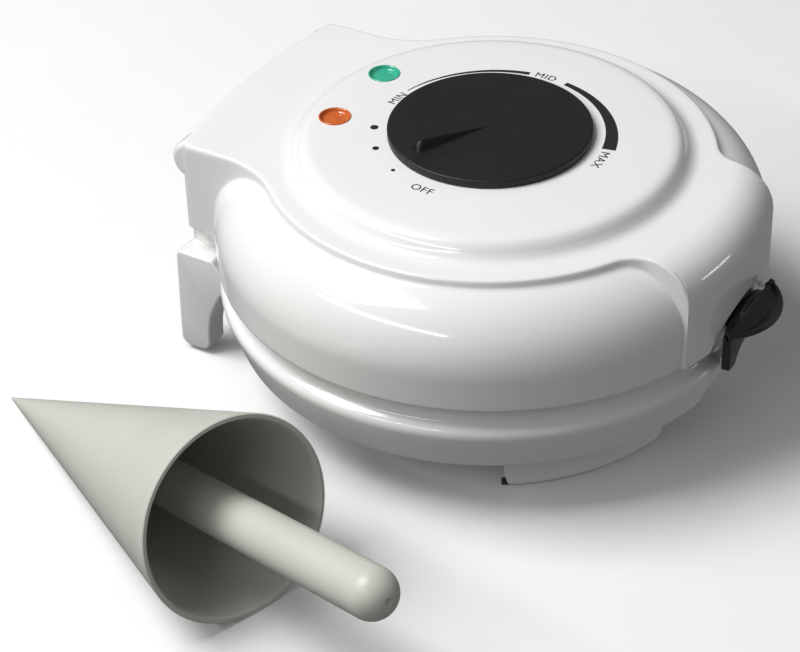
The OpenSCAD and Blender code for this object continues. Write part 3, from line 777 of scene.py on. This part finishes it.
def make_legs():
    """Two flat legs at the back with rounded toes."""
    outline = [(88, 40.2), (88, 33), (90.2, 31), (93.2, 25), (95.4, 19.5), (96.6, 13), (96.9, 8)]
    outline += arc(101.3, 5 + PAD_H, TOE_R, 185, 270, 8) + arc(106.7, 5 + PAD_H, TOE_R, 270, 355, 8)
    outline += [(LEG_BACK - 0.6, 23), (LEG_BACK - 1.2, 46.2), (LEG_BACK - 2.6, LEG_TOP),
                (93, LEG_TOP), (90, 44)]
    outline = rounded(outline + outline[:1], 0.5, 0.6, True)[:-1]
    for side, label in SIDES:
        leg = prism(f"leg_{label}", outline, on_side(side, LEG_IN - 1, LEG_IN + LEG_T), "x", 1.1, 4)
        keep_sharp(leg, 50)
        dress(leg, "base", "white_shell", replaces=(f"rear_leg_{label}",))


# Plates with a traditional ring and petal relief

def ridge(points, closed, width, height):
    """A thin raised line along points at one height."""
    curve = bpy.data.curves.new("ridge", "CURVE")
    curve.dimensions = "3D"
    curve.bevel_depth = width * MM / 2
    curve.bevel_resolution = 2
    line = curve.splines.new("POLY")
    line.points.add(len(points) - 1)
    for point, (x, y) in zip(line.points, points):
        point.co = (x * MM, y * MM, height * MM, 1)
    line.use_cyclic_u = closed
    return curve_piece("ridge", curve)


def ring(r, n, cx=0.0, cy=0.0):
    """A circle's points, without the last one, which would meet the first."""
    return arc(cx, cy, r, 0, 360 - 360 / n, n)


def petal(angle):
    """A pointed loop that reaches out from near the centre."""
    turn = math.radians(angle)
    half = []
    for k in range(25):
        s = k / 24
        half.append((15 + 26 * s, 6.4 * math.sin(math.pi * s) ** 0.8))
    loop = half + [(r, -w) for r, w in half[-2:0:-1]]
    c, s = math.cos(turn), math.sin(turn)
    return [(x * c - y * s, x * s + y * c) for x, y in loop]


def plate_relief(face_z, up):
    """Raised lines on the baking face: rings, rays, petals and a border of small double rings."""
    parts = []

    def draw(points, closed, width=1.0):
        height = face_z - RELIEF_SINK * up + up * (RELIEF_H - width / 2)
        parts.append(ridge(points, closed, width, height))

    for r in (9, 14, 42, 66, 86, 89):
        draw(ring(r, 96), True, 1.2)
    for i in range(16):
        draw([on_circle(r, i * 22.5) for r in (43, 65)], False)
    for i in range(8):
        draw(petal(i * 45), True)
        draw([on_circle(r, i * 45) for r in (20, 36)], False)
    for i in range(32):
        for r, n in ((5.2, 20), (1.6, 10)):
            draw(ring(r, n, *on_circle(76, i * 11.25)), True, 0.9)
    return parts


def make_plate(name, body, up, seat):
    """A cast baking plate that faces up or down, with its relief and four screw posts."""
    face = MEET_Z - PLATE_GAP * up
    section = [(AXIS, face - up), (90.2, face - up), (91, face - 0.1 * up), (91.3, face),
               (PLATE_R - 0.8, face), (PLATE_R, face - 0.8 * up), (PLATE_R, seat + 2.6 * up),
               (FLANGE_R, seat + 2.2 * up), (FLANGE_R, seat + 0.1 * up), (FLANGE_R - 0.4, seat),
               (AXIS, seat)]
    disc = revolve("plate_body", section, 240)
    foot = seat - POST_H * up
    posts = [move(revolve("boss", [(1.5, seat), (1.5, foot), (5, foot), (5.4, seat)], 32),
                  shift(*on_circle(POST_REACH, 45 + 90 * i))) for i in range(4)]
    plate = join(name, [disc] + plate_relief(face, up) + posts)
    keep_sharp(plate, 40)
    dress(plate, body, "baking_plate", replaces=(name.replace("_casting", ""),))


# Knob, print and lamps

def make_knob():
    low = PANEL_Z + 0.5
    section = rounded([(AXIS, low), (KNOB_R, low), (KNOB_R, KNOB_TOP - 0.25), (KNOB_R - 0.6, KNOB_TOP),
                       (KNOB_R - 2.2, KNOB_TOP - 0.02), (AXIS, KNOB_TOP - 0.12)], 0.22, 0.3)
    disc = revolve("knob_disc", section, 256)
    keep_sharp(disc, 60)
    dress(disc, "knob", "knob_black", replaces=("control_knob",))


def pointer_section(s):
    """The pointer's section at a share of its length, from a flat point in the middle to a blunt end."""
    grow = min(s / 0.86, 1.0)
    wide = 0.35 + POINTER_HALF_W * grow ** 1.2
    tall = 0.25 + POINTER_H * grow ** 1.1
    fall = 1.0 - max((s - 0.9) / 0.1, 0.0) ** 2 * 0.92
    last = 14
    points = []
    for k in range(last + 1):
        t = math.pi * k / last
        peak = math.sin(t) ** 0.7 if 0 < k < last else 0.0
        points.append((POINTER_IN + POINTER_LEN * s, wide * math.cos(t) * (1 - 0.35 * peak),
                       KNOB_TOP - 0.3 + tall * fall * peak))
    return points


def make_pointer():
    blade = loft("pointer_blade", [pointer_section(i / 47) for i in range(48)])
    move(blade, Matrix.Rotation(math.radians(POINTER_ANGLE), 4, "Z"))
    keep_sharp(blade, 60)
    dress(blade, "knob", "knob_black", material="pointer_black", replaces=("knob_pointer",))


def printed_strip(name, a0, a1, inner, outer):
    """A printed arc whose inner and outer radii run from one value to another."""
    n = max(int(abs(a1 - a0)), 12)
    verts = []
    for i in range(n + 1):
        s = i / n
        t = math.radians(a0 + (a1 - a0) * s)
        for r in (inner[0] + (inner[1] - inner[0]) * s, outer[0] + (outer[1] - outer[0]) * s):
            for z in (PRINT_Z, PRINT_Z + PRINT_H):
                verts.append((r * math.cos(t), r * math.sin(t), z))
    faces = []
    for i in range(n):
        a, b = 4 * i, 4 * i + 4
        faces += [(a + 1, b + 1, b + 3, a + 3), (a, a + 2, b + 2, b),
                  (a, b, b + 1, a + 1), (a + 2, a + 3, b + 3, b + 2)]
    faces += [(0, 1, 3, 2), (4 * n, 4 * n + 2, 4 * n + 3, 4 * n + 1)]
    return add_mesh(name, verts, faces, smooth=False)


def printed_word(word, angle, radius, size, outward):
    """A word bent round the scale, its tops outward or inward."""
    data = bpy.data.curves.new("word", "FONT")
    data.body = word
    data.size = size * MM
    data.align_x = "CENTER"
    data.align_y = "CENTER"
    data.extrude = PRINT_H / 2 * MM
    data.space_character = 1.08
    piece = curve_piece("word", data)
    sign = 1 if outward else -1
    for vert in piece.data.vertices:
        x, y = vert.co.x, vert.co.y
        r = radius * MM + sign * y
        t = math.radians(angle) - sign * x / (radius * MM)
        vert.co.x, vert.co.y = r * math.cos(t), r * math.sin(t)
        vert.co.z += (PRINT_Z + PRINT_H / 2) * MM
    return piece


def printed_dot(angle, size):
    profile = [(AXIS, PRINT_Z), (size, PRINT_Z), (size, PRINT_Z + PRINT_H), (AXIS, PRINT_Z + PRINT_H)]
    return move(revolve("dot", profile, 32), shift(*on_circle(DOT_REACH, angle)))


def make_print():
    """The dial's words, dots and arcs, at their angles and distances round the knob."""
    parts = [printed_word("OFF", 176.5, 46.4, 5.1, False), printed_word("MIN", 84.0, 43.9, 4.9, True),
             printed_word("MID", 1.0, 46.4, 4.9, True), printed_word("MAX", -86.0, 45.6, 5.1, True)]
    parts += [printed_dot(154.9, 0.85), printed_dot(133.1, 1.3), printed_dot(113.7, 1.6)]
    parts.append(printed_strip("thin_arc", 75.0, 9.5, (44.6, 45.2), (45.0, 47.2)))
    parts.append(printed_strip("thick_arc", -10.5, -76.5, (45.0, 43.6), (47.3, 48.9)))
    mark = join("scale_print", parts)
    shade(mark.data, False)
    dress(mark, "lid", "dark_latch", material="print")


def make_lens(side, label):
    """A shallow dished lens with a thin raised rim."""
    r, z = LENS_R, PANEL_Z
    dish = rounded([(AXIS, z - 2.4), (r - 0.4, z - 2.4), (r - 0.4, z - 0.4), (r + 0.3, z + 0.2),
                    (r + 0.25, z + 0.6), (r - 0.2, z + 0.7), (r - 0.5, z + 0.4), (r - 0.9, z - 0.6),
                    (r - 1.9, z - 1.05), (r - 3.8, z - 1.0), (AXIS, z - 0.7)], 0.15, 0.2)
    lens = revolve(f"{label}_dish_lens", dish, 128)
    keep_sharp(lens, 40)
    move(lens, lamp_place(side))
    dress(lens, "lid", f"lens_{label}", replaces=(f"{label}_lens",))


# Latch

def latch_section(x):
    """The latch's outline in the Y-Z plane at one distance from its middle."""
    tip = TONGUE_R - TONGUE_REACH - math.sqrt(max(TONGUE_R ** 2 - x * x, 0.01))
    low, high, back, front = TONGUE_Z, TONGUE_Z + TONGUE_T, LATCH_BACK - 1.9, LATCH_FRONT
    floor, top = TONGUE_Z + 0.3, high
    if abs(x) <= LATCH_HALF_W:
        # the plate behind the tongue, with round side edges, a notched foot and a top that follows the arch
        back = LATCH_BACK
        edge = max((abs(x) - LATCH_HALF_W + 1.2) / 1.2, 0.0)
        curl = 1.1 * (1 - math.sqrt(max(1 - edge * edge, 0.0)))
        back, front = back - 0.6 * curl, front + curl
        floor = LATCH_LOW + curl
        if abs(x) < NOTCH_R:
            floor = max(floor, NOTCH_Z + math.sqrt(NOTCH_R ** 2 - x * x))
        top = LID_RIM_Z + ARCH_H - ARCH_BOW + math.sqrt((ARCH_BOW - 3) ** 2 - x * x) - curl
    front, tip = min(front, back - 0.2), min(tip, front - 0.1, back - 0.3)
    mid = (tip + front) / 2
    upper = max(top, high - 0.4)
    return soft_loop([(back, floor), (front, floor), (front, low + 0.2), (mid, low), (tip + 1.0, low + 0.5),
                      (tip, low + 1.5), (tip + 0.4, high - 0.1), (tip + 1.8, high - 0.3), (mid, high - 1.9),
                      (front - 0.9, high - 1.0), (front + 0.5, min(high + 0.6, upper)),
                      (front + 1.0, upper), (front + 1.5, min(top, upper)), (back, top)],
                     (10, 18, 8, 8, 4, 4, 4, 8, 8, 6, 6, 6, 8, 22), 0.3)


def latch_plate():
    """The plate and its tongue, through sections that stand closest where the plate's edge is round."""
    w = LATCH_HALF_W
    outer, middle = np.linspace(TONGUE_HALF_W, w + 0.12, 12), np.linspace(w - 1.3, 0.5, 26)
    half = np.concatenate([outer, [w, w - 0.05, w - 0.2, w - 0.5, w - 0.9], middle])
    stations = np.concatenate([-half, [0.0], half[::-1]])
    return loft("latch_plate", [[(x, y, z) for y, z in latch_section(float(x))] for x in stations])


def make_latch():
    """A saddle-shaped clip that hangs in the arch, with a dished tongue for the fingers."""
    plate = latch_plate()
    end = BARREL_HALF
    barrel = revolve("barrel", [(1.6, -end), (2.3, -end), (2.6, 0.3 - end), (2.6, end - 0.3), (2.3, end),
                                (1.6, end), (1.6, -end)], 48)
    move(barrel, shift(0, LATCH_PIN_Y, LATCH_PIN_Z) @ Matrix.Rotation(math.pi / 2, 4, "Y"))
    web = prism("web", box(-end, end, -108.2, -105.5), (54.9, 58.1), "z", 0.4)
    latch = join("latch_body", [plate, barrel, web])
    keep_sharp(latch, 50)
    dress(latch, "latch", "dark_latch", replaces=("latch_clip",))


def make_bumpers():
    """Two round studs on the lid's back."""
    profile = rounded([(AXIS, -14), (7.0, -14), (8.2, -12.4), (8.2, 12.4), (7.0, 14), (AXIS, 14)], 0.8, 0.5)
    for side, label in SIDES:
        stud = revolve(f"rest_stud_{label}", profile, 64)
        move(stud, shift(side * BUMPER_X, BUMPER_Y, BUMPER_Z) @ Matrix.Rotation(math.pi / 2, 4, "Y"))
        dress(stud, "lid", "white_shell", replaces=(f"rest_bumper_{label}",))


# Cone roller

def roller_place():
    """Lays the cone, drawn upright on its tip, on its side on the floor."""
    half = math.atan2(CONE_R, CONE_LEN)
    place = Matrix.Translation(Vector(CONE_TIP) * MM)
    yaw = Matrix.Rotation(math.radians(CONE_YAW), 4, "Z")
    return place @ yaw @ Matrix.Rotation(math.pi / 2 - half, 4, "Y")


def make_cone():
    skin = [(AXIS, CONE_BLUNT * 0.55), (CONE_BLUNT * 0.2, CONE_BLUNT * 0.62)]
    skin += [(CONE_R * s, CONE_LEN * s) for s in np.linspace(CONE_BLUNT / CONE_LEN * 2.2, 1, 40)]
    skin[-1] = (CONE_R - 0.12, CONE_LEN - 0.5)
    inside = CONE_R - CONE_WALL
    lip = [(CONE_R - 0.5, CONE_LEN), (inside + 0.4, CONE_LEN), (inside, CONE_LEN - 0.5)]
    inner = [(inside + (GRIP_R - CONE_R + CONE_WALL) * s, CONE_LEN - (CONE_LEN - GRIP_START) * s)
             for s in np.linspace(0.01, 1, 30)]
    cone = revolve("roller_cone_skin", skin + lip + inner + [(AXIS, GRIP_START)], 256)
    keep_sharp(cone, 40)
    move(cone, roller_place())
    dress(cone, "roller", "roller", replaces=("roller_cone",))


def make_grip():
    """The handle, with a domed end that has a small hole in it."""
    end = CONE_LEN + GRIP_OUT
    slim = GRIP_R - GRIP_TAPER
    length = end - GRIP_R - GRIP_START
    rod = [(AXIS, GRIP_START + 0.2), (slim, GRIP_START + 0.2)]
    rod += [(slim + GRIP_TAPER * s, GRIP_START + length * s) for s in np.linspace(0.02, 1, 40)]
    rod += arc(0, end - GRIP_R, GRIP_R, 3, 80, 26)
    rod += [(1.25, end - 0.16), (1.05, end - 0.5), (0.75, end - 0.62), (0.6, end - 0.25), (AXIS, end - 0.2)]
    grip = revolve("roller_grip", rod, 128)
    keep_sharp(grip, 40)
    move(grip, roller_place())
    dress(grip, "roller", "roller", replaces=("roller_handle",))


# Finishes of the CAD parts that stay as they are

def dress_frame_nodes():
    slots = {row["node"]: row["material_slot"] for row in frame["record"]["subparts"]}
    for name, piece in frame["nodes"].items():
        material = MATERIALS[slots[name]]
        piece.data.materials.clear()
        piece.data.materials.append(material)


# Floor and light

def make_floor():
    half, z = 3000, -0.1
    corners = [(x, y, z) for x, y in box(-half, half, -half, half)]
    floor = add_mesh("floor", corners, [(0, 1, 2, 3)], smooth=False)
    floor.data.materials.append(finish("pale_floor", (0.88, 0.88, 0.88), (0.9, 0.9, 0.9), (0.5, 0.6)))
    # the photographed object stands free, with no light thrown back up at it
    floor.visible_diffuse = floor.visible_glossy = False


def make_lights():
    """A dim white sky, a large soft key from behind, a strip for the long highlights and a front glint.

    Each light has a turn and a lift in degrees, a distance and a size in metres, and its watts."""
    world = bpy.data.worlds.new("studio")
    world.use_nodes = True
    sky = world.node_tree.nodes["Background"]
    sky.inputs["Color"].default_value = (1, 1, 1, 1)
    sky.inputs["Strength"].default_value = 0.18
    bpy.context.scene.world = world
    for name, turn, lift, far, size, power in (
            ("key_soft", 120, 58, 2.0, (1.1, 1.1), 39.0),
            ("strip", 162, 38, 1.6, (1.4, 0.045), 5.2),
            ("front_glint", -60, 9, 1.5, (0.4, 0.08), 0.7)):
        data = bpy.data.lights.new(name, "AREA")
        data.shape = "RECTANGLE"
        data.size, data.size_y = size
        data.energy = power
        a, e = math.radians(turn), math.radians(lift)
        lamp = link(name, data)
        lamp.location = Vector((math.cos(a) * math.cos(e), math.sin(a) * math.cos(e), math.sin(e))) * far
        lamp.rotation_euler = (Vector((0, 0, 0.05)) - lamp.location).to_track_quat("-Z", "Y").to_euler()
    bpy.context.scene.view_settings.view_transform = "Standard"


make_camera()
dress_frame_nodes()
make_lid()
make_base()
make_front_feet()
make_legs()
make_plate("lower_plate_casting", "base", 1, SEAT_LOW)
make_plate("upper_plate_casting", "lid", -1, SEAT_UP)
make_knob()
make_pointer()
make_print()
make_lens(-1, "green")
make_lens(1, "orange")
make_latch()
make_bumpers()
make_cone()
make_grip()
make_floor()
make_lights()
